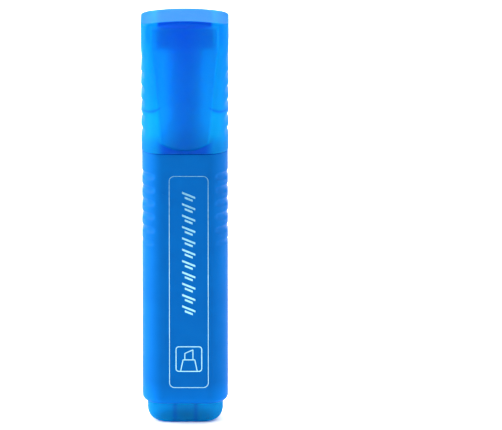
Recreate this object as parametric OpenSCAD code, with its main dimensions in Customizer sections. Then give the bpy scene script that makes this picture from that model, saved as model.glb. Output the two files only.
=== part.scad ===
// Flat-bodied highlighter with a chisel nib and a lift-off cap, drawn capped.
// The frame has +Z up the pen from the flat foot of the end plug to the cap,
// +X to the right of the printed face and +Y away from it. Sizes are in millimetres.

/* [Barrel] */
// Width of the barrel, side to side
barrel_w = 25.5; // [24:0.5:28]
// Depth of the barrel, front to back
barrel_d = 15.5; // [15:0.5:18]
// Height of the barrel from its lower lip to its shoulder
barrel_h = 77.3; // [74:0.1:90]
// Radius of the barrel's upright corners
corner_r = 6; // [5:0.25:6]
// Thickness of the barrel wall
wall = 1.25; // [1.1:0.05:1.4]
// Finger grooves down each side of the barrel
barrel_grooves = 6; // [1:1:6]
// Distance from one finger groove to the next
groove_pitch = 4.1; // [3.6:0.1:4.2]
// Depth of a finger groove
groove_depth = 0.35; // [0.2:0.05:0.5]

/* [End plug] */
// Width of the plug below the barrel
plug_w = 22.5; // [20:0.5:22.5]
// Depth of the plug below the barrel
plug_d = 12.5; // [11:0.5:12.5]
// Height of the plug that shows below the barrel
plug_h = 6; // [5:0.1:7]
// Radius of the plug's lower left and right edges
plug_side_r = 3.9; // [3:0.1:4.8]

/* [Neck] */
// Height of the flare from the shoulder to the round tube
flare_h = 12.7; // [11:0.1:14]
// Outer diameter of the round tube that holds the nib
tube_dia = 7.94; // [7.6:0.02:8.4]
// Length of the round tube above the seal step
tube_h = 8.2; // [7:0.1:10]

/* [Nib] */
// Diameter of the nib rod
nib_dia = 6.1; // [5:0.1:6.2]
// Height of the nib's high corner above the tube
nib_reach = 7.7; // [6.5:0.1:8.5]
// Rise of the slanted writing edge from its low corner to its high one
nib_rise = 1.15; // [0.6:0.05:1.6]

/* [Cap] */
// Height of the cap from its lower rim to the middle of its crown
cap_h = 40.6; // [40:0.1:46]
// How far the cap's rim stands out past each side of the barrel
cap_proud = 0.15; // [0.15:0.05:0.3]
// Thickness of the cap's wall
cap_wall = 0.85; // [0.75:0.05:0.9]
// Radius of the crown across the top of the cap
crown_r = 75; // [70:5:200]
// Finger grooves down each side of the cap
cap_grooves = 5; // [1:1:5]

/* [Hidden] */
$fn = 64;

// Heights, from the foot up
barrel_z = plug_h;
shoulder_z = barrel_z + barrel_h;
step_z = shoulder_z + flare_h + 0.4;
tube_top_z = step_z + tube_h;
nib_tip_z = tube_top_z + nib_reach;
rim_gap = 0.05;
cap_z = shoulder_z + rim_gap;
cap_top_z = cap_z + cap_h;
over = 1; // how far a cutting shape runs past what it cuts
lap = 0.2; // how far a rib or a tube runs into what it stands on

// Barrel
cavity_w = barrel_w - 2 * wall;
cavity_d = barrel_d - 2 * wall;
cavity_r = corner_r - wall;
lip_r = 2.2;
lip_h = 1.8;
groove_r = 2.2;
groove_wrap = 52; // degrees that a groove runs round each corner
first_groove_z = shoulder_z - 7.25;
last_groove_share = 0.55; // depth of the lowest groove as a share of the others'
gate_mark = [-6.4, shoulder_z - 12.6]; // centre of the moulding mark on the front
gate_mark_r = 0.3;
gate_mark_rise = 0.1;

// End plug
fit_gap = 0.1;
plug_wall = 1.4;
plug_edge_r = 1.2;
plug_corner_r = 4.6;
plug_insert_h = 7;
rib_x = 3.1;
rib_t = 0.9;

// Neck
insert_h = 6.3;
deck_t = 1.2; // thickness left between the insert's hollow and the flare
flare_tuck = 0.02; // how far the flare's top ring lies inside the round tube
flare_ring_flat = 0.25; // half of what is left straight in each side of that ring
cone_hollow_h = 7.8; // height of the conical hollow under the flare
cone_drop = 1.5; // how far below the shoulder it starts
collar_w = barrel_w - 1.8;
collar_d = barrel_d - 1.9;
collar_r = corner_r - 0.9;
tube_r = tube_dia / 2;
seal_step = 0.15;
nib_r = nib_dia / 2;
nib_gap = 0.03;
rim_round = 0.4;
vent_w = 0.8;
vent_depth = 0.45;
vent_stop = 2; // how far below the tube's mouth the air channels end

// Reservoir
core_w = 18;
core_d = 10.4;
core_r = core_d / 2 - 0.2;
core_z = barrel_z + plug_insert_h + 0.3;
core_top_z = shoulder_z - insert_h - 0.6;
spike_h = 6;
spike_r = 1.5;
film = 0.2;
film_gap = 0.05;
vent_tube_r = 0.7;
vent_tube_x = 6.6;

// Cap
cap_foot = [barrel_w + 2 * cap_proud, barrel_d + 2 * cap_proud, corner_r + cap_proud];
cap_head = [cap_foot[0] + 0.2, cap_foot[1] + 0.1, 3]; // as cap_foot, where the taper ends
cap_taper_h = 33;
cap_edge_r = 0.9;
cap_top_wall = 1.1;
cap_first_groove_z = cap_z + 6.1;
cap_groove_r = 4.3;
cap_groove_depth = groove_depth + 0.05;
cap_groove_pitch = groove_pitch + 0.18;
cap_waist_z = cap_z + 28.4;
cap_waist_r = 20;
cap_waist_depth = 0.25;
panel_depth = 0.2; // how far the front and back panels are sunk in
panel_foot_r = 12.5;
panel_foot_z = cap_z + 0.9;

// Cap liner
liner_gap = 0.1;
seal_gap = 0.05;
liner_wall = 1.1;
liner_foot_z = step_z + 0.2;
chamber_r = nib_r + 0.7;
chamber_top_z = nib_tip_z + 1.8;
block_w = 16.6;
block_foot_d = 9.4;
block_head_d = 13.2;
block_z = chamber_top_z + 0.7;
plate_h = 1.2;
skirt_t = 0.7;
skirt_in_x = 7.6;
skirt_r = 2.7;
skirt_z = cap_z + 12.4;
tube_clear = 0.5; // room above the mouth of the neck's tube

// Foil print, on the front of the barrel
foil = 0.05;
line_w = 0.19;
icon_line_w = 0.27;
print_x = 1.1;
border_w = 11.7;
border_h = 65.4;
border_z = barrel_z + 5.2;
border_r = 1.6;
stroke_places = 11;
stroke_pitch = 3.5;
stroke_w = 3.9;
stroke_t = 0.6;
stroke_slope = 0.42; // rise of a stroke for each millimetre that it runs to the left
short_stroke = 0.6; // length of the lower stroke in each place, as a share of the upper one
short_drop = 1.2;
stroke_z = border_z + 24.2;
icon_size = 7.9;
icon_r = 1;
icon_z = border_z + 5;

// ---- Shared shapes ----

// A rectangle with round corners, centred
module rounded_plan(w, d, r) {
    square([w - 2 * r, d], center = true);
    square([w, d - 2 * r], center = true);
    for (sx = [-1, 1], sy = [-1, 1])
        translate([sx * (w / 2 - r), sy * (d / 2 - r)]) circle(r = r);
}

// A rounded rectangle raised into a bar
module rounded_bar(w, d, r, h) {
    linear_extrude(height = h) rounded_plan(w, d, r);
}

// A side view h high and w wide whose two lower corners curve in with radius r.
// The curve starts lip above the foot, so it stops short of level when lip is under r.
module foot_profile(w, h, r, lip) {
    translate([-w / 2, lip]) square([w, h - lip]);
    translate([-w / 2 + r, 0]) square([w - 2 * r, lip + lap]);
    for (s = [-1, 1])
        intersection() {
            translate([s * (w / 2 - r), lip]) circle(r = r);
            translate([-w / 2, 0]) square([w, lip + r]);
        }
}

// A bar of rounded plan whose lower edges curve in, seen from the front and from the side
module footed_bar(w, d, r, h, side_r, side_lip, face_r, face_lip) {
    intersection() {
        rounded_bar(w, d, r, h);
        rotate([90, 0, 0])
            linear_extrude(height = d + over, center = true)
                foot_profile(w, h + over, side_r, side_lip);
        rotate([90, 0, 90])
            linear_extrude(height = w + over, center = true)
                foot_profile(d, h + over, face_r, face_lip);
    }
}

// The points of a rounded rectangle [width, depth, corner radius] at height z, anticlockwise
function ring(size, z, steps = 8) = [
    for (corner = [0:3], i = [0:steps])
        let (
            side_x = corner == 0 || corner == 3 ? 1 : -1,
            side_y = corner < 2 ? 1 : -1,
            a = 90 * (corner + i / steps)
        )
        [
            side_x * (size[0] / 2 - size[2]) + size[2] * cos(a),
            side_y * (size[1] / 2 - size[2]) + size[2] * sin(a),
            z
        ]
];

// A solid skin over rings of points, from the lowest ring to the highest
module loft(rings) {
    n = len(rings[0]);
    last = len(rings) - 1;
    foot = [for (i = [0:n - 1]) i];
    head = [for (i = [n - 1:-1:0]) last * n + i];
    sides = [
        for (k = [0:last - 1], i = [0:n - 1])
            let (next = (i + 1) % n)
            [k * n + i, (k + 1) * n + i, (k + 1) * n + next, k * n + next]
    ];
    polyhedron(points = [for (r = rings) each r], faces = concat([foot, head], sides));
}

// The cap's plan drawn in by inset: corners tighten over its taper, and then stay as they are
function cap_size(z, inset = 0) =
    let (t = min(1, max(0, (z - cap_z) / cap_taper_h)))
    [
        cap_foot[0] + t * (cap_head[0] - cap_foot[0]) - 2 * inset,
        cap_foot[1] + t * (cap_head[1] - cap_foot[1]) - 2 * inset,
        cap_foot[2] + t * (cap_head[2] - cap_foot[2]) - inset
    ];

module cap_bar(z0, z1, inset) {
    heights = [z0, cap_z + cap_taper_h, z1];
    loft([for (z = heights) ring(cap_size(z, inset), z)]);
}

// One groove cut into both sides: a bead along the flat of the side that runs round each corner
module wrapped_groove(w, d, r, depth) {
    path_r = r + groove_r - depth;
    for (turn = [0, 180])
        rotate([0, 0, turn]) {
            translate([w / 2 - r + path_r, 0, 0])
                rotate([90, 0, 0]) cylinder(r = groove_r, h = d - 2 * r, center = true);
            for (s = [0, 1])
                mirror([0, s, 0]) translate([w / 2 - r, d / 2 - r, 0]) {
                    rotate_extrude(angle = groove_wrap)
                        translate([path_r, 0]) circle(r = groove_r);
                    rotate([0, 0, groove_wrap])
                        translate([path_r, 0, 0]) sphere(r = groove_r);
                }
        }
}

// One groove cut straight across both sides
module straight_groove(w, d, r, depth) {
    for (s = [-1, 1])
        translate([s * (w / 2 + r - depth), 0, 0])
            rotate([90, 0, 0]) cylinder(r = r, h = d + over, center = true);
}

// ---- Barrel group ----

module barrel() {
    color("dodgerblue") translate([gate_mark[0], -barrel_d / 2 + lap, gate_mark[1]])
        rotate([90, 0, 0]) cylinder(r = gate_mark_r, h = lap + gate_mark_rise);
    color("dodgerblue") difference() {
        translate([0, 0, barrel_z])
            footed_bar(barrel_w, barrel_d, corner_r, barrel_h, lip_r, lip_h, lip_r, lip_h);
        translate([0, 0, barrel_z - over])
            rounded_bar(cavity_w, cavity_d, cavity_r, barrel_h + 2 * over);
        for (i = [0:barrel_grooves - 1])
            let (depth = groove_depth * (i < barrel_grooves - 1 ? 1 : last_groove_share))
                translate([0, 0, first_groove_z - i * groove_pitch])
                    wrapped_groove(barrel_w, barrel_d, corner_r, depth);
    }
}

// How far the flare has grown out from the tube at height z above the shoulder, from 0 where it leaves
// the tube to 1 at the shoulder. It is a circular arc that leaves the tube upright.
arc_in = collar_w / 2 - tube_r;
arc_r = (flare_h * flare_h + arc_in * arc_in) / (2 * arc_in);
function flare(z) = (arc_r - sqrt(arc_r * arc_r - pow(flare_h - z, 2))) / arc_in;

module flare_skin() {
    rings = 12;
    loft([
        for (k = [0:rings])
            let (
                z = flare_h * k / rings,
                f = flare(z),
                neck = tube_dia - 2 * flare_tuck,
                neck_r = tube_r - flare_ring_flat
            )
            ring([
                neck + f * (collar_w - neck),
                neck + f * (collar_d - neck),
                neck_r + f * (collar_r - neck_r)
            ], shoulder_z + z)
    ]);
}

// The round tube with its seal step and its rounded mouth
module nib_tube() {
    step_h = 2.4;
    translate([0, 0, step_z - step_h]) cylinder(r = tube_r + seal_step, h = step_h);
    rotate_extrude() {
        translate([0, shoulder_z]) square([tube_r, tube_top_z - rim_round - shoulder_z]);
        translate([0, shoulder_z]) square([tube_r - rim_round, tube_top_z - shoulder_z]);
        translate([tube_r - rim_round, tube_top_z - rim_round]) circle(r = rim_round);
    }
}

module front_section() {
    color("deepskyblue") difference() {
        union() {
            translate([0, 0, shoulder_z - insert_h])
                rounded_bar(cavity_w - fit_gap, cavity_d - fit_gap, cavity_r - fit_gap / 2, insert_h);
            flare_skin();
            nib_tube();
        }
        // the hollow under the flare
        translate([0, 0, shoulder_z - insert_h - over])
            rounded_bar(cavity_w - 2 * wall, cavity_d - 2 * wall, cavity_r - wall,
                insert_h + over - deck_t);
        translate([0, 0, shoulder_z - cone_drop])
            cylinder(r1 = cavity_d / 2 - wall, r2 = nib_r, h = cone_hollow_h);
        // the bore that grips the nib, and its three air channels
        translate([0, 0, shoulder_z - insert_h])
            cylinder(r = nib_r + nib_gap, h = tube_top_z - shoulder_z + insert_h + over);
        for (a = [90, 210, 330])
            rotate([0, 0, a]) translate([nib_r - vent_depth, -vent_w / 2, shoulder_z])
                cube([2 * vent_depth, vent_w, tube_top_z - shoulder_z - vent_stop]);
    }
}

// The nib seen from the front: a rod that narrows to a slanted writing edge, high on the right
module nib_face() {
    polygon([
        [-nib_r, core_top_z], [-nib_r, tube_top_z + 2.6], [-nib_r + 0.2, tube_top_z + 4.4],
        [-nib_r + 0.6, nib_tip_z - nib_rise - 0.6], [-nib_r + 1.2, nib_tip_z - nib_rise],
        [nib_r - 0.95, nib_tip_z], [nib_r - 0.4, tube_top_z + 4.6], [nib_r, tube_top_z + 2.2],
        [nib_r, core_top_z]
    ]);
}

// The nib seen from the side: a rod with two flats that meet near the writing edge
module nib_side() {
    edge = 0.9;
    polygon([
        [-nib_r, core_top_z], [-nib_r, tube_top_z + 1.4], [-edge, nib_tip_z + 0.1],
        [edge, nib_tip_z + 0.1], [nib_r, tube_top_z + 1.4], [nib_r, core_top_z]
    ]);
}

module nib() {
    color("midnightblue") {
        intersection() {
            translate([0, 0, core_top_z])
                cylinder(r = nib_r, h = nib_tip_z - core_top_z + over);
            rotate([90, 0, 0])
                linear_extrude(height = nib_dia + over, center = true) nib_face();
            rotate([90, 0, 90])
                linear_extrude(height = nib_dia + over, center = true) nib_side();
        }
        translate([0, 0, core_top_z - spike_h])
            cylinder(r1 = spike_r, r2 = nib_r, h = spike_h);
    }
}

// The ink reservoir: a fibre core, its film sleeve and the air tube down its side
module reservoir_core() {
    clear = 0.05;
    color("royalblue") difference() {
        translate([0, 0, core_z])
            rounded_bar(core_w, core_d, core_r, core_top_z - core_z);
        translate([0, 0, core_top_z - spike_h - clear])
            cylinder(r1 = spike_r + clear, r2 = nib_r + clear, h = spike_h + 2 * clear);
        translate([vent_tube_x, 0, core_z - over])
            cylinder(r = vent_tube_r + clear, h = core_top_z - core_z + 2 * over);
    }
}

module reservoir_wrap() {
    inner = film_gap;
    outer = film_gap + film;
    color("aliceblue") difference() {
        translate([0, 0, core_z])
            rounded_bar(core_w + 2 * outer, core_d + 2 * outer, core_r + outer, core_top_z - core_z);
        translate([0, 0, core_z - over])
            rounded_bar(core_w + 2 * inner, core_d + 2 * inner, core_r + inner,
                core_top_z - core_z + 2 * over);
    }
}

module breather_tube() {
    bore_r = 0.4;
    color("white") translate([vent_tube_x, 0, core_z]) difference() {
        cylinder(r = vent_tube_r, h = core_top_z - core_z);
        translate([0, 0, -over]) cylinder(r = bore_r, h = core_top_z - core_z + 2 * over);
    }
}

module end_plug() {
    insert_r = cavity_r - fit_gap / 2;
    color("turquoise") {
        difference() {
            union() {
                footed_bar(plug_w, plug_d, plug_corner_r, plug_h + over,
                    plug_side_r, plug_side_r, plug_edge_r, plug_edge_r);
                translate([0, 0, plug_h])
                    rounded_bar(cavity_w - fit_gap, cavity_d - fit_gap, insert_r, plug_insert_h);
            }
            translate([0, 0, plug_wall])
                rounded_bar(plug_w - 4 * plug_wall, plug_d - 2 * plug_wall, plug_corner_r - plug_wall,
                    plug_h + plug_insert_h);
        }
        // cross ribs on the floor of the cup, which also hold the reservoir up
        for (s = [-1, 1])
            translate([s * rib_x - rib_t / 2, -plug_d / 2 + plug_wall - lap, plug_wall - lap])
                cube([rib_t, plug_d - 2 * plug_wall + 2 * lap, plug_h + plug_insert_h - plug_wall]);
    }
}

// ---- Cap group ----

// The crowned and edge-rounded outline of the cap's top, as two side views
module crown_profile(w) {
    intersection() {
        translate([-w, cap_z - over]) square([2 * w, cap_h + 2 * over]);
        translate([0, cap_top_z - crown_r]) circle(r = crown_r, $fn = 128);
    }
}

module edge_profile(d) {
    translate([0, cap_top_z]) mirror([0, 1])
        foot_profile(d, cap_h + over, cap_edge_r, cap_edge_r);
}

module cap_shell() {
    head = cap_size(cap_top_z);
    color("deepskyblue", 0.6) difference() {
        intersection() {
            cap_bar(cap_z, cap_top_z + over, 0);
            rotate([90, 0, 0])
                linear_extrude(height = 2 * head[1], center = true) crown_profile(head[0]);
            rotate([90, 0, 90])
                linear_extrude(height = 2 * head[0], center = true) edge_profile(head[1]);
        }
        cap_bar(cap_z - over, cap_top_z - cap_top_wall, cap_wall);
        for (i = [0:cap_grooves - 1])
            let (z = cap_first_groove_z + i * cap_groove_pitch)
                translate([0, 0, z])
                    straight_groove(cap_size(z)[0], cap_head[1], cap_groove_r, cap_groove_depth);
        translate([0, 0, cap_waist_z])
            straight_groove(cap_size(cap_waist_z)[0], cap_head[1], cap_waist_r, cap_waist_depth);
        for (turn = [0, 180])
            rotate([90, 0, turn])
                translate([0, 0, cap_foot[1] / 2 - panel_depth]) linear_extrude(height = over) cap_panel();
    }
}

// The outline of the sunk panel: it narrows downwards between the corners and ends in a bow
module cap_panel() {
    foot_w = cap_foot[0] / 2 - cap_foot[2];
    head_w = cap_head[0] / 2 - cap_head[2];
    bow_z = panel_foot_z + panel_foot_r;
    intersection() {
        polygon([
            [-foot_w, cap_z], [foot_w, cap_z], [head_w, cap_z + cap_taper_h],
            [head_w, cap_top_z - cap_edge_r], [-head_w, cap_top_z - cap_edge_r],
            [-head_w, cap_z + cap_taper_h]
        ]);
        union() {
            translate([0, bow_z]) circle(r = panel_foot_r);
            translate([-cap_foot[0] / 2, bow_z]) square([cap_foot[0], cap_h]);
        }
    }
}

// What is cut from the front and the back of the liner's skirt: all but a round-ended lobe at each side
module skirt_window(top_z) {
    difference() {
        translate([-barrel_w, skirt_z - 2 * over]) square([2 * barrel_w, top_z - skirt_z + 2 * over]);
        for (s = [-1, 1]) {
            translate([s * (skirt_in_x + skirt_r), skirt_z + skirt_r]) circle(r = skirt_r);
            translate([s * (skirt_in_x + skirt_r) - skirt_r, skirt_z + skirt_r])
                square([2 * skirt_r, top_z - skirt_z]);
        }
    }
}

// A lid under the cap's crown with a skirt down each side, which lie against the cap's wall
module liner_skirt(ceiling_z) {
    outer = cap_wall + liner_gap;
    difference() {
        cap_bar(skirt_z, ceiling_z, outer);
        cap_bar(skirt_z - over, ceiling_z - plate_h, outer + skirt_t);
        rotate([90, 0, 0])
            linear_extrude(height = cap_head[1], center = true) skirt_window(ceiling_z - plate_h);
    }
}

// The stopper seen from the side, wider at its head than at its foot
module block_side(top_z) {
    polygon([
        [-block_foot_d / 2, block_z], [block_foot_d / 2, block_z],
        [block_head_d / 2, top_z], [-block_head_d / 2, top_z]
    ]);
}

module cap_liner() {
    ceiling_z = cap_top_z - cap_top_wall - liner_gap;
    color("steelblue") difference() {
        union() {
            liner_skirt(ceiling_z);
            translate([0, 0, liner_foot_z])
                cylinder(r = tube_r + seal_gap + liner_wall, h = block_z - liner_foot_z);
            rotate([90, 0, 90])
                linear_extrude(height = block_w, center = true)
                    block_side(ceiling_z - plate_h / 2);
        }
        translate([0, 0, liner_foot_z - over])
            cylinder(r = tube_r + seal_gap, h = tube_top_z - liner_foot_z + over + tube_clear);
        translate([0, 0, liner_foot_z])
            cylinder(r = chamber_r, h = chamber_top_z - liner_foot_z);
    }
}

// ---- Foil print ----

// Stands a flat drawing up on the front face of the barrel, as a layer of foil
module on_front() {
    translate([print_x, -barrel_d / 2, 0])
        rotate([90, 0, 0]) linear_extrude(height = foil) children();
}

// An outline of a rounded rectangle, centred on its foot
module frame_line(w, h, r, t) {
    translate([0, h / 2]) difference() {
        rounded_plan(w, h, r);
        rounded_plan(w - 2 * t, h - 2 * t, r - t);
    }
}

module print_border() {
    color("gainsboro") on_front()
        translate([0, border_z]) frame_line(border_w, border_h, border_r, line_w);
}

// A column of slanted strokes in pairs, in which the lower stroke of each pair is shorter
module print_strokes() {
    color("gainsboro") on_front()
        for (i = [0:stroke_places - 1])
            translate([0, stroke_z + i * stroke_pitch]) {
                slanted_stroke(stroke_w);
                translate([0, -short_drop]) slanted_stroke(stroke_w * short_stroke);
            }
}

// One stroke w wide, centred, that rises to the left
module slanted_stroke(w) {
    rise = w * stroke_slope / 2;
    polygon([
        [-w / 2, rise], [w / 2, -rise], [w / 2, stroke_t - rise], [-w / 2, stroke_t + rise]
    ]);
}

// A rounded square that holds a plain outline of a neck and a slanted nib
module print_icon() {
    neck = [[-2.5, 0], [-1.75, 3.7], [1.75, 3.7], [2.5, 0]];
    tip = [[-1.2, 3.7], [-1.2, 5.7], [1.2, 6.8], [1.2, 3.7]];
    color("gainsboro") on_front() translate([0, icon_z]) {
        frame_line(icon_size, icon_size, icon_r, icon_line_w);
        for (outline = [neck, tip], i = [0:2])
            stroke(outline[i], outline[i + 1]);
    }
}

// A straight line of the icon from a to b, with square ends
module stroke(a, b) {
    run = b - a;
    translate(a) rotate(atan2(run[1], run[0]))
        translate([0, -icon_line_w / 2]) square([norm(run), icon_line_w]);
}

barrel();
front_section();
nib();
reservoir_core();
reservoir_wrap();
breather_tube();
end_plug();
cap_shell();
cap_liner();
print_border();
print_strokes();
print_icon();
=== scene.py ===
"""The looks of a flat-bodied, capped highlighter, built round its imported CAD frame."""

import math

import bmesh
import bpy
import numpy as np
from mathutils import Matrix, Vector


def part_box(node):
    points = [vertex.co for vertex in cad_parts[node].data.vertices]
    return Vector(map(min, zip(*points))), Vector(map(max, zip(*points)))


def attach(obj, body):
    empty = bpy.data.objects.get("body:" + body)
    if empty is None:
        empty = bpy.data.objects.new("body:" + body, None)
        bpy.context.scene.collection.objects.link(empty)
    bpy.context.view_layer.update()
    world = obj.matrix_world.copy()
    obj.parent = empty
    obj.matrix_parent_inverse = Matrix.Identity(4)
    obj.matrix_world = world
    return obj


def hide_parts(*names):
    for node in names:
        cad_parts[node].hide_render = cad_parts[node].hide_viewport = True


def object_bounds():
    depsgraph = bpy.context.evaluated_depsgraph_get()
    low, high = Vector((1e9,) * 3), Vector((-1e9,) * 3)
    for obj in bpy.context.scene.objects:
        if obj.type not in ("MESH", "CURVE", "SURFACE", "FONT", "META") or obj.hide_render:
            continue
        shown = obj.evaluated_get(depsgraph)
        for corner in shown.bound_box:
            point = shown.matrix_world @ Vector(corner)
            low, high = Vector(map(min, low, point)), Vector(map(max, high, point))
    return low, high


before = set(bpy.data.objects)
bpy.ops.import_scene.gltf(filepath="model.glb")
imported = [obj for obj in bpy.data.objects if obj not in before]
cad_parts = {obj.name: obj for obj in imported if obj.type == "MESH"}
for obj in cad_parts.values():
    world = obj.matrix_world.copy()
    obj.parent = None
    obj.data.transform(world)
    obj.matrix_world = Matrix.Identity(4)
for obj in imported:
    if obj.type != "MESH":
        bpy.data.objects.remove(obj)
cad_lo, cad_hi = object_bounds()

MM = 0.001  # the meshes are worked out in millimetres, and the scene is in metres


# ---------------------------------------------------------------- sizes, from the frame

def box_mm(node):
    """A CAD node's lowest and highest corners, in millimetres."""
    lo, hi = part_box(node)
    return np.array(lo) / MM, np.array(hi) / MM


barrel_lo, barrel_hi = box_mm("barrel")
neck_lo, neck_hi = box_mm("front_section")
nib_lo, nib_hi = box_mm("nib")
_, plug_hi = box_mm("end_plug")
cap_lo, cap_hi = box_mm("cap_shell")

BARREL_W = barrel_hi[0] - barrel_lo[0]
BARREL_D = 15.5
FOOT_Z = barrel_lo[2]
SHOULDER_Z = barrel_hi[2]
CORNER_R = 6.0
WALL = 1.25
BARREL_FULLNESS = 1.78  # how full the barrel's corners are, where 2 is a true arc
LIP_R = 2.2  # the barrel's lower edge curves in with this radius, over the height LIP_H
LIP_H = 1.8
SHOULDER_EDGE_R = 0.3

GROOVES = 6
GROOVE_R = 2.2
GROOVE_DEPTH = 0.35
LAST_GROOVE_SHARE = 0.55  # the lowest groove's depth, as a share of the others'
GROOVE_PITCH = 4.1
GROOVE_WRAP = 52.0  # how far round a corner a groove runs, in degrees
FIRST_GROOVE_Z = SHOULDER_Z - 7.25
FINE_STEP = 0.22  # the height between a mesh's rows where grooves cut it
GATE_MARK = (-6.4, SHOULDER_Z - 12.6)

FIT_GAP = 0.05  # between the barrel's bore and what is pushed into it
INSERT = (BARREL_W - 2 * (WALL + FIT_GAP), BARREL_D - 2 * (WALL + FIT_GAP), CORNER_R - WALL - FIT_GAP)
SEAM = 0.02  # keeps two faces that meet from lying in one plane

COLLAR = (BARREL_W - 1.8, BARREL_D - 1.9, CORNER_R - 0.9)
TUBE_R = 3.97
TUBE_TOP_Z = neck_hi[2]
FLARE_H = 12.7
SEAL_STEP = 0.15
STEP_Z = SHOULDER_Z + FLARE_H + 0.4
NIB_R = (nib_hi[0] - nib_lo[0]) / 2
NIB_TIP_Z = nib_hi[2]

PLUG_W = 22.5
PLUG_D = 12.5
PLUG_CORNER_R = 4.6
PLUG_SIDE_R = 3.9
PLUG_EDGE_R = 1.2
PLUG_TIGHTER = 1.2  # how much smaller the plug's corner radius is at its foot
PLUG_WALL = 1.4
RIB_X = 3.1
RIB_T = 0.9
RIB_SHADE = 0.35  # how much more plastic the plug is seen through in front of a rib
RIB_BLUR = 0.65
PLUG_FACE_STEPS = 60  # points along a face, close enough together to show a rib behind it

CAP_Z = cap_lo[2]
CAP_TOP_Z = cap_hi[2]
CAP_PROUD = 0.15
CAP_FOOT = (BARREL_W + 2 * CAP_PROUD, BARREL_D + 2 * CAP_PROUD, CORNER_R + CAP_PROUD)
CAP_HEAD = (CAP_FOOT[0] + 0.2, CAP_FOOT[1] + 0.1, 3.0)
CAP_TAPER_H = 33.0
CAP_WALL = 0.85
CAP_TOP_WALL = 1.1
CAP_RIM_R = 0.2
CAP_LEAST_R = 0.4  # for the corners of the cap's hollow
CAP_EDGE_R = 0.9
CAP_SIDE_EDGE_R = 0.4
CROWN_R = 75.0
CAP_GROOVES = 5
CAP_GROOVE_R = 4.3
CAP_GROOVE_DEPTH = 0.4
CAP_GROOVE_PITCH = 4.28
CAP_GROOVE_WRAP = 18.0
CAP_FIRST_GROOVE_Z = CAP_Z + 6.1
WAIST_Z = CAP_Z + 28.4
WAIST_H = 2.2
WAIST_DEPTH = 0.25
CAP_HEAD_Z = CAP_Z + 34.0  # above this, the mesh's rows bend up to follow the crown
PANEL_DEPTH = 0.2
PANEL_EDGE = 0.35  # the width of the slope that leads down into the panel
BOW_R = 12.5
BOW_Z = CAP_Z + 0.9
CAP_FACE_STEPS = 70  # points along a face, close enough together to draw its panel's edges
STOPPER_W = 16.6
STOPPER_Z = NIB_TIP_Z + 2.5
LINER_TUBE_X = (2.0, 7.0)  # how far out the liner's tube is seen at its deepest, and at all
SKIRT_Z = CAP_Z + 12.8  # a side skirt's lower edge is a parabola, which is lowest at SKIRT_LOW_X
SKIRT_LOW_X = 11.2
SKIRT_RISE = 0.08


# ---------------------------------------------------------------- mesh helpers

def smooth_step(value, low, high):
    """0 below low, 1 above high, and an even S between them."""
    t = np.clip((np.asarray(value, float) - low) / (high - low), 0.0, 1.0)
    return t * t * (3.0 - 2.0 * t)


def plan(width, depth, radius, corner_steps=18, long_steps=14, short_steps=6, fullness=2.0):
    """Round a rounded rectangle, anticlockwise from the right side's middle: its points, the outward
    direction at each, and how far that direction has turned from the sideways one, in degrees.
    A corner of fullness 2 is a circular arc, and one below 2 is flatter and leaves a soft crease."""
    points, normals = [], []
    corners = [(1, 1, 0), (-1, 1, 90), (-1, -1, 180), (1, -1, 270)]
    centres = [np.array([sx * (width / 2 - radius), sy * (depth / 2 - radius)]) for sx, sy, _ in corners]
    for k, (_, _, start) in enumerate(corners):
        centre, next_centre = centres[k], centres[(k + 1) % 4]
        for i in range(corner_steps + 1):
            angle = math.radians(start + 90 * i / corner_steps)
            outward = np.array([math.cos(angle), math.sin(angle)])
            share = np.abs(outward) ** (2 / fullness)
            points.append(centre + radius * np.sign(outward) * share)
            outward = np.sign(outward) * share ** (fullness - 1)
            normals.append(outward / np.linalg.norm(outward))
        angle = math.radians(start + 90)
        outward = np.array([math.cos(angle), math.sin(angle)])
        steps = long_steps if k % 2 == 0 else short_steps
        for i in range(1, steps):
            points.append(centre + (next_centre - centre) * i / steps + radius * outward)
            normals.append(outward)
    points, normals = np.array(points), np.array(normals)
    turn = np.degrees(np.arctan2(np.abs(normals[:, 1]), np.abs(normals[:, 0])))
    return points, normals, turn


def at_height(points, z):
    """Plan points lifted to height z, which is one number or one for each point."""
    return np.column_stack([points, np.broadcast_to(z, len(points))])


def skin(name, rows, close_loop=False, pole_first=False, pole_last=False):
    """One mesh over rows of points in millimetres, each row a closed ring.
    close_loop joins the last row to the first, and a pole closes an end with a point."""
    bm = bmesh.new()
    rings = [[bm.verts.new(Vector(p) * MM) for p in row] for row in rows]
    count = len(rings[0])
    pairs = list(zip(rings, rings[1:]))
    if close_loop:
        pairs.append((rings[-1], rings[0]))
    for lower, upper in pairs:
        for i in range(count):
            j = (i + 1) % count
            bm.faces.new((lower[i], lower[j], upper[j], upper[i]))
    for wanted, ring in ((pole_first, rings[0]), (pole_last, rings[-1])):
        if wanted:
            middle = sum((v.co for v in ring), Vector()) / count
            pole = bm.verts.new(middle)
            for i in range(count):
                bm.faces.new((ring[i], ring[(i + 1) % count], pole))
    return finish_mesh(name, bm)


def mark_inside(obj, row_length, rows, pole):
    """Tells the inner surface of a hollow piece from its outer one, for its material.
    The inner surface is some of the skin's rows and the pole that closes them, -2 first or -1 last."""
    values = np.zeros(len(obj.data.vertices))
    for row in rows:
        values[row * row_length:(row + 1) * row_length] = 1.0
    values[pole] = 1.0
    obj.data.attributes.new("inside", "FLOAT", "POINT").data.foreach_set("value", values)
    return obj


def set_band(obj, values):
    """Stores, for the material, how much more plastic than the wall's own each point is seen through, and on
    the cap also how much shade is painted there.
    """
    obj.data.attributes.new("band", "FLOAT", "POINT").data.foreach_set("value", values)


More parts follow.
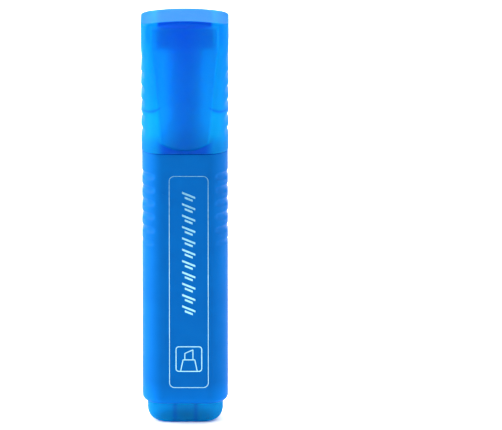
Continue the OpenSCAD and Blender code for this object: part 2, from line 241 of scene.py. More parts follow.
def finish_mesh(name, bm):
    """Turns a bmesh into a smooth-shaded object with its normals outwards."""
    bmesh.ops.recalc_face_normals(bm, faces=bm.faces[:])
    mesh = bpy.data.meshes.new(name)
    bm.to_mesh(mesh)
    bm.free()
    mesh.polygons.foreach_set("use_smooth", [True] * len(mesh.polygons))
    obj = bpy.data.objects.new(name, mesh)
    bpy.context.scene.collection.objects.link(obj)
    return obj


def place(obj, body, material, node):
    """Rides obj on its body in the place of its CAD node, with its own material."""
    obj.data.materials.append(material)
    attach(obj, body)
    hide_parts(node)


def groove_inset(z, turn, radius, centres, depths, wrap, bead_r):
    """How far finger grooves cut in at height z where the wall has turned by turn degrees.
    Each is cut by a bead of radius bead_r along the side that ends in a ball at wrap degrees."""
    past_end = np.radians(np.clip(turn - wrap, 0, None)) * radius
    cut = np.zeros_like(turn)
    for centre, depth in zip(centres, depths):
        reach = bead_r ** 2 - (z - centre) ** 2 - past_end ** 2
        cut = np.maximum(cut, np.sqrt(np.clip(reach, 0, None)) - (bead_r - depth))
    return cut


def lip_inset(height, radius, lip):
    """How far an edge that curves in with that radius over lip has come in, at a height above its foot."""
    drop = np.clip(lip - height, 0, None)
    return radius - math.sqrt(radius ** 2 - drop ** 2)


# ---------------------------------------------------------------- barrel

def barrel_outline(inset):
    """The barrel's outer plan, drawn in by inset."""
    return plan(BARREL_W - 2 * inset, BARREL_D - 2 * inset, CORNER_R - inset, fullness=BARREL_FULLNESS)


def make_barrel():
    """An open tube with grooves round its sides, a lower edge that curves in and a rounded shoulder."""
    centres = [FIRST_GROOVE_Z - i * GROOVE_PITCH for i in range(GROOVES)]
    depths = [GROOVE_DEPTH] * (GROOVES - 1) + [GROOVE_DEPTH * LAST_GROOVE_SHARE]
    grooves_lo, grooves_hi = centres[-1] - 2.5, centres[0] + 2.6
    heights = np.concatenate([
        FOOT_Z + LIP_H * np.linspace(0, 1, 9) ** 0.8,
        np.arange(FOOT_Z + 3, grooves_lo - 0.5, 2.5),
        np.arange(grooves_lo, grooves_hi, FINE_STEP),
        np.arange(grooves_hi + 0.4, SHOULDER_Z - SHOULDER_EDGE_R, 1.2),
    ])
    rows = []
    for z in heights:
        points, normals, turn = barrel_outline(lip_inset(z - FOOT_Z, LIP_R, LIP_H))
        cut = groove_inset(z, turn, CORNER_R, centres, depths, GROOVE_WRAP, GROOVE_R)
        rows.append(at_height(points - normals * cut[:, None], z))
    for angle in np.linspace(0, math.pi / 2, 5):
        points, _, _ = barrel_outline(SHOULDER_EDGE_R * (1 - math.cos(angle)))
        rows.append(at_height(points, SHOULDER_Z - SHOULDER_EDGE_R * (1 - math.sin(angle))))
    inner, _, _ = plan(BARREL_W - 2 * WALL, BARREL_D - 2 * WALL, CORNER_R - WALL)
    for z in np.linspace(SHOULDER_Z, FOOT_Z, 12):
        rows.append(at_height(inner, z))
    return skin("barrel_body", rows, close_loop=True)


def make_gate_mark():
    """The small raised dot that moulding leaves on the front."""
    count = 24
    angle = np.arange(count) * 2 * math.pi / count
    rows = []
    for radius, out in ((0.3, -0.1), (0.3, 0.05), (0.26, 0.08), (0.15, 0.1)):
        x = GATE_MARK[0] + radius * np.cos(angle)
        z = GATE_MARK[1] + radius * np.sin(angle)
        rows.append(np.column_stack([x, np.full(count, -BARREL_D / 2 - out), z]))
    return skin("gate_mark", rows, pole_first=True, pole_last=True)


# ---------------------------------------------------------------- neck

def flare_growth(height):
    """From 1 at the shoulder to 0 at the tube, along a circular arc that leaves the tube upright."""
    arc_in = COLLAR[0] / 2 - TUBE_R
    arc_r = (FLARE_H ** 2 + arc_in ** 2) / (2 * arc_in)
    return (arc_r - math.sqrt(arc_r ** 2 - (FLARE_H - height) ** 2)) / arc_in


def make_neck():
    """An insert for the barrel, a collar that flares in to a round tube, and the tube's bore."""
    collar, _, _ = plan(*COLLAR)
    angle = np.arctan2(collar[:, 1] / COLLAR[1], collar[:, 0] / COLLAR[0])
    circle = np.column_stack([np.cos(angle), np.sin(angle)])
    insert, _, _ = plan(*INSERT)
    rim_r, bore_r = 0.45, NIB_R + 0.03
    rows = [at_height(insert, z) for z in (neck_lo[2], SHOULDER_Z - SEAM)]
    rows.append(at_height(collar, SHOULDER_Z - SEAM))
    for height in FLARE_H * np.linspace(0, 1, 40):
        growth = flare_growth(height)
        ring = circle * TUBE_R * (1 - growth) + collar * growth
        rows.append(at_height(ring, SHOULDER_Z + height))
    # The seal step's profile: the height from STEP_Z, and how much of the step stands out there.
    step = [(-0.9, 0.0), (-0.6, 0.5), (-0.3, 0.9), (-0.1, 1.0), (0.0, 0.9), (0.05, 0.5), (0.15, 0.0)]
    for above, share in step:
        rows.append(at_height(circle * (TUBE_R + SEAL_STEP * share), STEP_Z + above))
    for z in np.linspace(STEP_Z + 1, TUBE_TOP_Z - rim_r - 0.3, 6):
        rows.append(at_height(circle * TUBE_R, z))
    for turn in np.linspace(0, math.pi * 0.94, 12):
        radius = TUBE_R - rim_r + rim_r * math.cos(turn)
        rows.append(at_height(circle * radius, TUBE_TOP_Z - rim_r + rim_r * math.sin(turn)))
    for z in np.linspace(TUBE_TOP_Z - rim_r, neck_lo[2], 10):
        rows.append(at_height(circle * bore_r, z))
    return skin("neck_body", rows, close_loop=True)


# ---------------------------------------------------------------- nib

def make_nib():
    """A felt rod with a flat on its front and back, cut off on a slant that is high on the right."""
    count, base_z = 72, TUBE_TOP_Z - 2.5
    angle = np.arange(count) * 2 * math.pi / count
    cosine, sine = np.cos(angle), np.sin(angle)
    left_top, right_top = -2.55, 2.2  # where the writing edge ends on each side
    left_ease, right_ease = 1.6, 1.2  # above 1, a side draws in later on its way up
    taper_from, taper_to = 0.25, 1.25
    flats_from, edge_half, squareness = 0.36, 0.95, 8
    slant, corner_drop, overrun = 1.15, 0.5, 1.15
    rows = []
    for t in np.linspace(0, 1, 34):
        along = smooth_step(t, taper_from, taper_to) / smooth_step(1.0, taper_from, taper_to)
        flat = np.clip((t - flats_from) / (1 - flats_from), 0, 1)
        half_depth = NIB_R + flat * (edge_half - NIB_R)
        left = -NIB_R + along ** left_ease * (left_top + NIB_R)
        right = NIB_R + along ** right_ease * (right_top - NIB_R)
        x = np.where(cosine > 0, cosine * right, -cosine * left)
        y = sine * NIB_R
        on_side = np.abs(sine) < 1e-6
        if flat > 0:
            reach = np.where(on_side, 1.0, np.abs(y))
            y = np.sign(sine) * (reach ** -squareness + half_depth ** -squareness) ** (-1 / squareness)
        y = np.where(on_side, 0.0, y)
        low = NIB_TIP_Z - slant * np.clip((right_top - x) / (right_top - left_top), 0, overrun)
        corner = corner_drop * smooth_step(-x, 1.4, 2.9) * t ** 3
        rows.append(np.column_stack([x, y, base_z + t * (low - base_z) - corner]))
    last = rows[-1]
    centre = last.mean(axis=0)
    dome = 0.08
    for share in (0.93, 0.75, 0.45):
        row = centre + (last - centre) * share
        row[:, 2] = np.minimum(last[:, 2] + dome * (1 - share), NIB_TIP_Z)
        rows.append(row)
    return skin("nib_felt", rows, pole_first=True, pole_last=True)


# ---------------------------------------------------------------- end plug

def plug_size(z, inset=0.0):
    """The plug's plan at height z: its ends curve in with a large radius, and its faces with a small one."""
    width = PLUG_W - 2 * lip_inset(z, PLUG_SIDE_R, PLUG_SIDE_R) - 2 * inset
    depth = PLUG_D - 2 * lip_inset(z, PLUG_EDGE_R, PLUG_EDGE_R) - 2 * inset
    radius = PLUG_CORNER_R - inset - PLUG_TIGHTER * (1 - smooth_step(z, 0, PLUG_SIDE_R))
    return width, depth, radius


def plug_ring(z, inset=0.0):
    """The points of the plug's plan at height z."""
    points, _, _ = plan(*plug_size(z, inset), long_steps=PLUG_FACE_STEPS)
    return points


def make_plug():
    """A hollow cup under the barrel, and the insert that holds it there. It is marked as seen through
    more plastic in front of the ribs, which touch its faces."""
    insert, _, _ = plan(*INSERT, long_steps=PLUG_FACE_STEPS)
    inner_foot_r = 0.6
    rows = [at_height(plug_ring(0.0) * share, 0.0) for share in (0.3, 0.6, 0.85)]
    for t in np.linspace(0, 1, 18):
        z = FOOT_Z * t ** 1.7
        rows.append(at_height(plug_ring(z), z))
    for z in (FOOT_Z + SEAM, plug_hi[2]):
        rows.append(at_height(insert, z))
    outer_rows = len(rows)
    for z in np.linspace(plug_hi[2], PLUG_WALL + inner_foot_r, 10):
        rows.append(at_height(plug_ring(z, PLUG_WALL), z))
    inner_floor = plug_ring(PLUG_WALL, PLUG_WALL + inner_foot_r)
    for share in (1.0, 0.7, 0.35):
        rows.append(at_height(inner_floor * share, PLUG_WALL))
    cup = skin("plug_cup", rows, pole_first=True, pole_last=True)
    off_rib = np.abs(np.array([v.co.x for v in cup.data.vertices])) / MM - RIB_X
    set_band(cup, RIB_SHADE * np.exp(-(off_rib / RIB_BLUR) ** 2))
    return mark_inside(cup, len(inner_floor), range(outer_rows, len(rows)), pole=-1)


def make_plug_ribs():
    """The two cross ribs in the plug, each a thin wall with softened edges."""
    bm = bmesh.new()
    edge_r, overlap = 0.15, 0.1
    half_d = PLUG_D / 2 - PLUG_WALL + overlap
    low_z, top_z = PLUG_WALL - 2 * overlap, plug_hi[2] - 2 * overlap
    size = Vector((RIB_T, 2 * half_d, top_z - low_z)) * MM
    for side in (-1, 1):
        middle = Vector((side * RIB_X, 0, (top_z + low_z) / 2)) * MM
        for v in bmesh.ops.create_cube(bm, size=1.0)["verts"]:
            v.co = Vector((v.co.x * size.x, v.co.y * size.y, v.co.z * size.z)) + middle
    bmesh.ops.bevel(bm, geom=bm.edges[:], offset=edge_r * MM, segments=2, affect="EDGES")
    return finish_mesh("plug_ribs", bm)


# ---------------------------------------------------------------- cap

def cap_size(z, inset=0.0):
    """The cap's plan: its corners tighten as it rises over its taper."""
    t = min(1.0, max(0.0, (z - CAP_Z) / CAP_TAPER_H))
    width, depth, radius = (a + t * (b - a) for a, b in zip(CAP_FOOT, CAP_HEAD))
    return width - 2 * inset, depth - 2 * inset, max(radius - inset, CAP_LEAST_R)


def crown(x):
    """Height of the cap's crowned top at x."""
    return CAP_TOP_Z - CROWN_R + np.sqrt(CROWN_R ** 2 - x ** 2)


def panel_bow(x):
    """Height of the bow that ends the sunk panel, at x."""
    return BOW_Z + BOW_R - np.sqrt(np.clip(BOW_R ** 2 - x ** 2, 0, None))


def panel_inset(points, z):
    """How far the sunk panel of the front and back takes the wall in, over a narrow slope at its edge.
    The panel lies between the corners and ends in a bow above the rim."""
    width, _, radius = cap_size(z)
    x = np.abs(points[:, 0])
    from_side = smooth_step(width / 2 - radius - x, 0.0, PANEL_EDGE)
    from_bow = smooth_step(z - panel_bow(x), 0.0, PANEL_EDGE - 0.05)
    return PANEL_DEPTH * from_side * from_bow


def cap_ring(z, inset=0.0):
    """The cap's plan at height z, as plan gives it."""
    return plan(*cap_size(z, inset), long_steps=CAP_FACE_STEPS)


def make_cap():
    """A hollow shell, from its inner roof down to its rim, up its outside and over its crowned top."""
    centres = [CAP_FIRST_GROOVE_Z + i * CAP_GROOVE_PITCH for i in range(CAP_GROOVES)]
    depths = [CAP_GROOVE_DEPTH] * CAP_GROOVES
    rows = []
    for z in np.linspace(CAP_TOP_Z - CAP_TOP_WALL, CAP_Z + CAP_RIM_R, 16):
        points, _, _ = cap_ring(z, CAP_WALL)
        rows.append(at_height(points, z))
    inner_rows = len(rows)
    for angle in np.linspace(0, math.pi, 7):
        points, _, _ = cap_ring(CAP_Z, CAP_WALL / 2 * (1 + math.cos(angle)))
        rows.append(at_height(points, CAP_Z + CAP_RIM_R * (1 - math.sin(angle))))
    grooves_lo, grooves_hi = centres[0] - 2.4, centres[-1] + 2.5
    heights = np.concatenate([
        np.arange(CAP_Z + 0.5, grooves_lo, 0.15),
        np.arange(grooves_lo, grooves_hi, FINE_STEP),
        np.arange(grooves_hi + 0.5, CAP_HEAD_Z, 0.9),
    ])
    for z in heights:
        points, normals, turn = cap_ring(z)
        cut = groove_inset(z, turn, cap_size(z)[2], centres, depths, CAP_GROOVE_WRAP, CAP_GROOVE_R)
        waist = WAIST_DEPTH * math.exp(-((z - WAIST_Z) / WAIST_H) ** 2)
        cut = cut + waist * np.cos(np.radians(turn)) ** 2 + panel_inset(points, z)
        rows.append(at_height(points - normals * cut[:, None], z))
    points, normals, _ = cap_ring(CAP_TOP_Z)
    edge = CAP_SIDE_EDGE_R + (CAP_EDGE_R - CAP_SIDE_EDGE_R) * np.abs(normals[:, 1]) ** 2
    edge_z = crown(points[:, 0]) - edge
    for t in np.linspace(0, 1, 8)[1:]:
        sunk = panel_inset(points, CAP_TOP_Z) * (1 - smooth_step(t, 0.9, 1.0))
        rows.append(at_height(points - normals * sunk[:, None], CAP_HEAD_Z + t * (edge_z - CAP_HEAD_Z)))
    for angle in np.linspace(0, math.pi / 2, 9)[1:]:
        drawn_in = points - normals * (edge * (1 - math.cos(angle)))[:, None]
        rows.append(at_height(drawn_in, crown(drawn_in[:, 0]) - edge * (1 - math.sin(angle))))
    flat = rows[-1][:, :2]
    for share in (0.96, 0.85, 0.7, 0.5, 0.25):
        rows.append(at_height(flat * share, crown(flat[:, 0] * share)))
    cap = skin("cap_body", rows, pole_first=True, pole_last=True)
    mark_band(cap)
    return mark_inside(cap, len(flat), range(inner_rows), pole=-2)


# How much deeper in colour the cap is drawn at each place, over and above its own wall: some bands stand for
# the liner's plastic seen through, and some are painted shade.
# painted shade: the flat panel drawn darker than the corners, which face the side lamps
PANEL_SHADE = 0.25
TUBE_DEPTH_AND_SHADE = 0.45  # added down the panel's middle, in front of the liner's tube: partly that tube's plastic seen through, partly painted shade where the tube and nib block light from behind
TUBE_BLUR = 5.8
LID_BAND = 1.2  # across the panel's top, in front of the liner's lid
BOW_SHADE = 1.0  # painted shade between the panel's bow and the rim
SKIRT_BAND = 0.1
SKIRT_EDGE_BAND = 0.7
SKIRT_EDGE_BLUR = 0.5
HEAD_BAND = 0.25  # beside the panel, near the top
FOOT_SHADE = 0.25  # painted shade beside the panel, near the rim
# painted shade down both side edges, where the side lamps light them
SIDE_SHADE = 0.3
TOP_END_SHADE = 0.25  # painted shade added at both ends of the crowned top


def mark_band(cap):
    """Marks for the material how much deeper in colour the cap is drawn at each of its points: partly the
    liner's plastic seen through, partly painted shade.
    """
    at = np.array([v.co for v in cap.data.vertices]) / MM
    x, y, z = np.abs(at[:, 0]), np.abs(at[:, 1]), at[:, 2]
    foot_half = CAP_FOOT[0] / 2 - CAP_FOOT[2]
    head_half = CAP_HEAD[0] / 2 - CAP_HEAD[2]
    panel_half = foot_half + np.clip((z - CAP_Z) / CAP_TAPER_H, 0, 1) * (head_half - foot_half)
    beside = smooth_step(x, panel_half - 0.2, panel_half + 0.2)
    on_face = smooth_step(y, CAP_HEAD[1] / 2 - 0.6, CAP_HEAD[1] / 2 - 0.4)
    near_top = 1 - smooth_step(CAP_TOP_Z - z, 1.6, 2.4)
    on_top = smooth_step(z - crown(x), -0.5, -0.1)
    above_skirt_edge = z - SKIRT_Z - SKIRT_RISE * (x - SKIRT_LOW_X) ** 2

    # The panel is painted shade on the flat, and down its middle also the liner's tube seen through.
    panel = (PANEL_SHADE + TUBE_DEPTH_AND_SHADE * np.exp(-(x / TUBE_BLUR) ** 2)) * (1 - beside)
    lid = LID_BAND * near_top * (1 - smooth_step(x, STOPPER_W / 2 - 0.9, STOPPER_W / 2 + 0.5))
    # Painted shade between the panel's bow and the rim.
    bow = BOW_SHADE * smooth_step(panel_bow(x) - z, -0.35, 0.15) * (1 - smooth_step(x, 5.5, 10.0))
    skirt = SKIRT_BAND * smooth_step(above_skirt_edge, 0.0, 0.6) * beside
    skirt_edge = SKIRT_EDGE_BAND * np.exp(-(above_skirt_edge / SKIRT_EDGE_BLUR) ** 2)
    skirt_edge = skirt_edge * smooth_step(x, 6.0, 7.6)
    head = HEAD_BAND * smooth_step(z, CAP_TOP_Z - 10, CAP_TOP_Z - 5) * beside
    # Painted shade beside the panel near the rim, down the side edges and at both ends of the top.
    foot = FOOT_SHADE * (1 - smooth_step(z, CAP_Z + 3.5, CAP_Z + 6.5)) * beside
    side = SIDE_SHADE * smooth_step(x, CAP_FOOT[0] / 2 - 2.9, CAP_FOOT[0] / 2 - 0.9)
    top_end_shade = TOP_END_SHADE * on_top * smooth_step(x, CAP_HEAD[0] / 2 - 4.0, CAP_HEAD[0] / 2 - 1.0)
    on_faces = np.maximum(panel, lid) * on_face
    set_band(cap, np.maximum.reduce([on_faces, bow, skirt_edge, skirt + head, foot, side + top_end_shade]))


# ---------------------------------------------------------------- materials

class Nodes:
    """A material's node tree, with short calls that add a node and set its inputs."""

    def __init__(self, name):
        self.material = bpy.data.materials.new(name)
        self.material.use_nodes = True
        self.tree = self.material.node_tree
        self.tree.nodes.clear()
        self.place = self.add("ShaderNodeTexCoord").outputs["Object"]

    def add(self, kind, inputs=None, **settings):
        """One node, with each input either linked to a socket or set to a value."""
        node = self.tree.nodes.new(kind)
        for key, value in settings.items():
            setattr(node, key, value)
        for key, value in (inputs or {}).items():
            if isinstance(value, bpy.types.NodeSocket):
                self.tree.links.new(value, node.inputs[key])
            else:
                node.inputs[key].default_value = value
        return node

    def stretch(self, scale):
        """The object's own coordinates, in millimetres, scaled along each axis."""
        size = tuple(s / MM for s in scale)
        return self.add("ShaderNodeMapping", {"Vector": self.place, "Scale": size}).outputs[0]

    def noise(self, scale, detail, stretch=(1, 1, 1), rough=0.5):
        """Cloudy noise, with its largest clouds about 1 / scale millimetres across."""
        return self.add("ShaderNodeTexNoise", {
            "Vector": self.stretch(stretch), "Scale": scale, "Detail": detail, "Roughness": rough,
        }).outputs[0]

    def ramp(self, value, low, high, out_low, out_high):
        """Turns low to high into out_low to out_high, and holds still past either end."""
        return self.add("ShaderNodeMapRange", {
            "Value": value, "From Min": low, "From Max": high, "To Min": out_low, "To Max": out_high,
        }).outputs[0]

    def mix(self, share, first, second):
        """Two colours, with that share of the second."""
        node = self.add("ShaderNodeMix", data_type="RGBA")
        for socket, value in ((node.inputs[0], share), (node.inputs[6], first), (node.inputs[7], second)):
            if isinstance(value, bpy.types.NodeSocket):
                self.tree.links.new(value, socket)
            else:
                socket.default_value = value
        return node.outputs[2]

    def drift(self, noise, first, second):
        """From the first colour to the second over the middle of a noise's range, where it mostly is."""
        return self.mix(self.ramp(noise, 0.3, 0.7, 0, 1), first, second)

    def along(self, axis):
        """The object's own coordinate along one axis, in millimetres."""
        return self.add("ShaderNodeSeparateXYZ", {0: self.stretch((1, 1, 1))}).outputs[axis]

    def marked(self, attribute):
        """What the mesh's points say under that name."""
        return self.add("ShaderNodeAttribute", attribute_name=attribute).outputs["Fac"]

    def maths(self, operation, *values):
        """The outcome of one operation on one or two values."""
        return self.add("ShaderNodeMath", dict(enumerate(values)), operation=operation).outputs[0]

    def bump(self, height, distance):
        """Surface normals for heights up to that distance, in millimetres."""
        return self.add("ShaderNodeBump", {"Height": height, "Distance": distance * MM}).outputs[0]

    def blend(self, share, first, second):
        """Two shaders, with that share of the second."""
        return self.add("ShaderNodeMixShader", {0: share, 1: first.outputs[0], 2: second.outputs[0]})

    def principled(self, **inputs):
        """A general surface, with its inputs under their own names, an underscore for each space."""
        return self.add("ShaderNodeBsdfPrincipled", {k.replace("_", " "): v for k, v in inputs.items()})

    def output(self, shader):
        """Ends the tree, and gives the material."""
        self.add("ShaderNodeOutputMaterial", {"Surface": shader.outputs[0]})
        return self.material


def rgb(red, green, blue):
    """A colour given as it shows on a screen, from 0 to 255, as the linear one that a shader takes."""
    def linear(c):
        c = c / 255
        return c / 12.92 if c <= 0.04045 else ((c + 0.055) / 1.055) ** 2.4
    return (linear(red), linear(green), linear(blue), 1.0)


def moulded_plastic(name, colour, deep, roughness, grain, foot=None):
    """Opaque moulded plastic: slow colour drift, a fine moulded grain and faint handling marks.
    It shows the foot colour, if there is one, near the lower lip as painted light: lighter where the lip
    curves in towards the bright floor."""
    n = Nodes(name)
    base = n.drift(n.noise(scale=0.12, detail=2), deep, colour)
    if foot:
        # painted light: drawn lighter over the lowest few millimetres, where the lip faces the floor
        base = n.mix(n.ramp(n.along("Z"), FOOT_Z + 1, FOOT_Z + 7, 1, 0), base, foot)
    fine = n.noise(scale=6.0, detail=4)
    marks = n.noise(scale=1.2, detail=6, stretch=(1, 1, 0.06), rough=0.7)
    rough = n.ramp(marks, 0.35, 0.75, roughness - 0.04, roughness + 0.07)
    shader = n.principled(
        Base_Color=base, Roughness=rough, Normal=n.bump(fine, grain), Specular_IOR_Level=0.03,
    )
    return n.output(shader)


# Clear plastic takes these colours where its band marks it as deep, and as deeper still: where it is seen
# through more plastic, and on the cap also where shade is painted.
DEEP_BASE, DEEP_TINT = (0, 0.08, 0.72, 1), (0, 0.2, 0.8, 1)
DEEPEST_BASE, DEEPEST_TINT = (0, 0.14, 0.46, 1), (0, 0.3, 0.5, 1)
FULL_BAND = 4 / 3  # the band at which the deep colours have wholly replaced the plastic's own
DEEPEST_BANDS = (1.0, 1.4)  # where the deepest colours begin, and where only they are left
NEARLY_CLEAR = 0.93


def clear_plastic(name, colour, deep, tint, clearness, roughness):
    """Tinted translucent plastic. Its outer surface scatters some light back and more of it on, in
    colour drifting towards deep, and lets the rest, a clearness share, straight through in its tint.
    The inner surface of a hollow piece has little left to do, so it is nearly clear. Where the mesh
    is marked with a band, the plastic takes the colours that it has when seen through more of it,
    and on the cap it also takes darker ones where shade is painted."""
    n = Nodes(name)
    band = n.marked("band")
    depth = n.ramp(band, 0, FULL_BAND, 0, 1)
    deepest = n.ramp(band, *DEEPEST_BANDS, 0, 1)
    base = n.drift(n.noise(scale=0.1, detail=2), deep, colour)
    base = n.mix(depth, base, n.mix(deepest, DEEP_BASE, DEEPEST_BASE))
    tint = n.mix(depth, tint, n.mix(deepest, DEEP_TINT, DEEPEST_TINT))
    grain = n.bump(n.noise(scale=5.0, detail=3), 0.004)
    front = n.principled(
        Base_Color=base, Roughness=roughness, Normal=grain, Specular_IOR_Level=0.2,
    )
    glow = n.add("ShaderNodeBsdfTranslucent", {"Color": base})
    inside = n.marked("inside")
    pure = n.add("ShaderNodeBsdfTransparent", {"Color": n.mix(inside, tint, (1, 1, 1, 1))})
    share = n.ramp(inside, 0, 1, clearness, NEARLY_CLEAR)
    return n.output(n.blend(share, n.blend(0.75, front, glow), pure))


def liner_plastic(name):
    """The cap's inner seal: thin and clear in its skirts, deeper in the tube down its middle, and
    deepest where its stopper is solid."""
    n = Nodes(name)
    across = n.maths("ABSOLUTE", n.along("X"))
    in_width = n.ramp(across, STOPPER_W / 2, STOPPER_W / 2 + 0.2, 1, 0)
    in_height = n.ramp(n.along("Z"), STOPPER_Z - 0.1, STOPPER_Z + 0.1, 0, 1)
    solid = n.maths("MULTIPLY", in_width, in_height)
    tube = n.ramp(across, *LINER_TUBE_X, 1, 0)
    drift = n.noise(scale=0.3, detail=2)
    thin = n.mix(drift, (0, 0.45, 0.95, 1), (0, 0.42, 0.92, 1))
    thick = n.mix(drift, (0, 0.04, 0.85, 1), (0, 0.035, 0.8, 1))
    base = n.mix(solid, n.mix(tube, thin, (0, 0.1, 0.85, 1)), thick)
    front = n.principled(Base_Color=base, Roughness=0.4, Specular_IOR_Level=0.1)
    glow = n.add("ShaderNodeBsdfTranslucent", {"Color": base})
    tint = n.mix(solid, (0.8, 0.93, 1, 1), (0, 0.4, 1, 1))
    pure = n.add("ShaderNodeBsdfTransparent", {"Color": tint})
    thickness = n.maths("MAXIMUM", solid, n.ramp(tube, 0, 1, 0, 0.8))
    share = n.ramp(thickness, 0, 1, NEARLY_CLEAR, 0.1)
    return n.output(n.blend(share, n.blend(0.5, front, glow), pure))


def felt(name):
    """Pressed fibre soaked in ink: streaks along the nib, with a fuzzy, faintly sheeny surface."""
    n = Nodes(name)
    streaks = n.noise(scale=3.0, detail=6, stretch=(3, 3, 0.5), rough=0.7)
    base = n.mix(n.ramp(streaks, 0.35, 0.65, 0, 1), rgb(0, 30, 70), rgb(0, 52, 104))
    fuzz = n.noise(scale=9.0, detail=5)
    shader = n.principled(
        Base_Color=base, Roughness=0.7, Normal=n.bump(fuzz, 0.05), Sheen_Weight=0.15,
    )
    return n.output(shader)


def foil(name):
    """Hot-stamped silver foil, uneven in its shine, with a painted reflection that makes it duller from
    halfway up.
    """
    n = Nodes(name)
    worn = n.noise(scale=1.5, detail=5)
    # painted reflection: bright lower on the pen, dim higher up
    bright_reflection = n.drift(worn, rgb(128, 188, 204), rgb(154, 208, 220))
    dim_reflection = n.drift(worn, rgb(76, 136, 172), rgb(108, 166, 196))
    base = n.mix(n.ramp(n.along("Z"), FOOT_Z + 42, SHOULDER_Z - 6, 0, 1), bright_reflection, dim_reflection)
    rough = n.ramp(worn, 0.3, 0.7, 0.28, 0.42)
    shader = n.principled(Base_Color=base, Metallic=1.0, Roughness=rough, Normal=n.bump(worn, 0.01))
    return n.output(shader)


def fibre_core(name):
    """The reservoir's fibre, wet with ink and streaked along the pen."""
    n = Nodes(name)
    streaks = n.noise(scale=2.0, detail=5, stretch=(4, 4, 0.2))
    base = n.mix(streaks, rgb(20, 90, 200), rgb(50, 140, 235))
    shader = n.principled(Base_Color=base, Roughness=0.85, Normal=n.bump(streaks, 0.08))
    return n.output(shader)


def film(name, tint):
    """Thin clear plastic with faint wrinkles."""
    n = Nodes(name)
    wrinkle = n.noise(scale=0.8, detail=3)
    shader = n.principled(Base_Color=tint, Roughness=0.15, Normal=n.bump(wrinkle, 0.05))
    return n.output(n.blend(0.55, shader, n.add("ShaderNodeBsdfTransparent")))


def studio_card(name, level):
    """Plain matt card of that brightness, with a trace of drift."""
    n = Nodes(name)
    drift = n.noise(scale=0.002, detail=1)
    base = n.mix(drift, (level, level, level, 1), (level * 0.99, level * 0.99, level, 1))
    return n.output(n.principled(Base_Color=base, Roughness=0.9))


# ---------------------------------------------------------------- pieces

# The barrel's foot colour is painted light near the lower lip.
barrel_plastic = moulded_plastic(
    "barrel_plastic", colour=rgb(0, 96, 176), deep=rgb(0, 91, 170), foot=rgb(0, 107, 197),
    roughness=0.4, grain=0.006,
)
neck_plastic = moulded_plastic(
    "neck_plastic", colour=rgb(0, 108, 192), deep=rgb(0, 103, 186), roughness=0.3, grain=0.004,
)
cap_plastic = clear_plastic(
    "cap_plastic", colour=(0, 0.53, 0.76, 1), deep=(0, 0.5, 0.74, 1), tint=(0.04, 0.6, 0.88, 1),
    clearness=0.12, roughness=0.3,
)
plug_plastic = clear_plastic(
    "plug_plastic", colour=(0, 0.45, 0.83, 1), deep=(0, 0.43, 0.81, 1), tint=(0.02, 0.64, 1.0, 1),
    clearness=0.15, roughness=0.25,
)
rib_plastic = clear_plastic(
    "rib_plastic", colour=(0, 0.2, 0.68, 1), deep=(0, 0.18, 0.65, 1), tint=(0, 0.36, 0.85, 1),
    clearness=0.12, roughness=0.4,
)

place(make_barrel(), "pen", barrel_plastic, "barrel")
place(make_gate_mark(), "pen", barrel_plastic, "barrel")
place(make_neck(), "pen", neck_plastic, "front_section")
place(make_nib(), "pen", felt("nib_felt"), "nib")
place(make_plug(), "pen", plug_plastic, "end_plug")
place(make_plug_ribs(), "pen", rib_plastic, "end_plug")
place(make_cap(), "cap", cap_plastic, "cap_shell")

CAD_MATERIALS = {
    "cap_liner": liner_plastic("liner_plastic"),
    "reservoir_core": fibre_core("core_fibre"),
    "reservoir_wrap": film("wrap_film", rgb(220, 235, 245)),
    "breather_tube": film("tube_plastic", rgb(240, 244, 248)),
}
silver = foil("foil")
for print_node in ("print_border", "print_strokes", "print_icon"):
    CAD_MATERIALS[print_node] = silver
for node_name, material in CAD_MATERIALS.items():
    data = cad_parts[node_name].data
    data.materials.clear()
    data.materials.append(material)


# ---------------------------------------------------------------- studio

CENTRE_Z = (cad_lo.z + cad_hi.z) / 2


def make_floor():
    """A floor that curves up into a backdrop."""
    radius, reach, width, height = 0.6, 4.0, 5.0, 2.5
    bend_steps = 16
    profile = [(-reach, 0.0), (reach, 0.0)]
    for i in range(1, bend_steps + 1):
        angle = math.pi / 2 * i / bend_steps
        profile.append((reach + radius * math.sin(angle), radius * (1 - math.cos(angle))))
    profile.append((reach + radius, height))
    bm = bmesh.new()
    columns = [[bm.verts.new((x, y, z)) for y, z in profile] for x in (-width, width)]
    for i in range(len(profile) - 1):
        bm.faces.new((columns[0][i], columns[1][i], columns[1][i + 1], columns[0][i + 1]))
    floor = finish_mesh("floor", bm)
    floor.data.materials.append(studio_card("floor_card", 0.92))


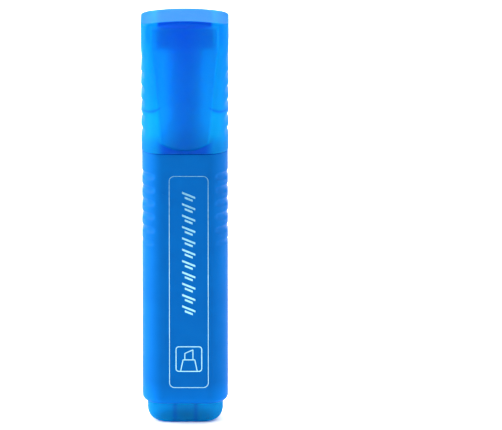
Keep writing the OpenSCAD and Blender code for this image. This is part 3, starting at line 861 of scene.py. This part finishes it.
def make_light(name, size, power, azimuth, elevation):
    """An area light aimed at the pen's middle. Azimuth 0 is in front of the pen and 90 to its right."""
    distance = 0.9
    data = bpy.data.lights.new(name, "AREA")
    data.shape = "RECTANGLE"
    data.size, data.size_y = size
    data.energy = power
    obj = bpy.data.objects.new(name, data)
    turn, rise = math.radians(azimuth), math.radians(elevation)
    away = Vector((math.sin(turn) * math.cos(rise), -math.cos(turn) * math.cos(rise), math.sin(rise)))
    obj.location = Vector((0, 0, CENTRE_Z)) + away * distance
    obj.rotation_euler = away.to_track_quat("Z", "Y").to_euler()
    bpy.context.scene.collection.objects.link(obj)


def make_world(level):
    """Even white light from all round."""
    world = bpy.data.worlds.new("studio")
    world.use_nodes = True
    background = world.node_tree.nodes["Background"]
    background.inputs["Color"].default_value = (1, 1, 1, 1)
    background.inputs["Strength"].default_value = level
    bpy.context.scene.world = world


def make_camera():
    """A long lens in front of the pen, looking down on it, with the pen left of the frame's middle."""
    elevation, distance = math.radians(16.0), 3.0
    pen_left, pen_low = 0.01954, 0.00045
    view_w = 0.148873  # how much the frame takes in, across, at the pen
    data = bpy.data.cameras.new("camera")
    data.sensor_fit = "HORIZONTAL"
    data.sensor_width = 36.0
    data.lens = data.sensor_width * distance / view_w
    data.clip_end = 20.0
    camera = bpy.data.objects.new("camera", data)
    away = Vector((0, -math.cos(elevation), math.sin(elevation)))
    camera.location = Vector((pen_left, 0, CENTRE_Z + pen_low)) + away * distance
    camera.rotation_euler = away.to_track_quat("Z", "Y").to_euler()
    bpy.context.scene.collection.objects.link(camera)
    bpy.context.scene.camera = camera


make_floor()
make_light("left_softbox", size=(0.7, 1.0), power=25.5, azimuth=-93, elevation=15)
make_light("right_softbox", size=(0.5, 1.0), power=9.0, azimuth=93, elevation=15)
make_light("back_softbox", size=(2.0, 1.2), power=26.0, azimuth=180, elevation=50)
make_light("top_softbox", size=(1.6, 1.6), power=7.0, azimuth=180, elevation=84)
make_world(level=0.17)
make_camera()
bpy.context.scene.view_settings.view_transform = "Standard"
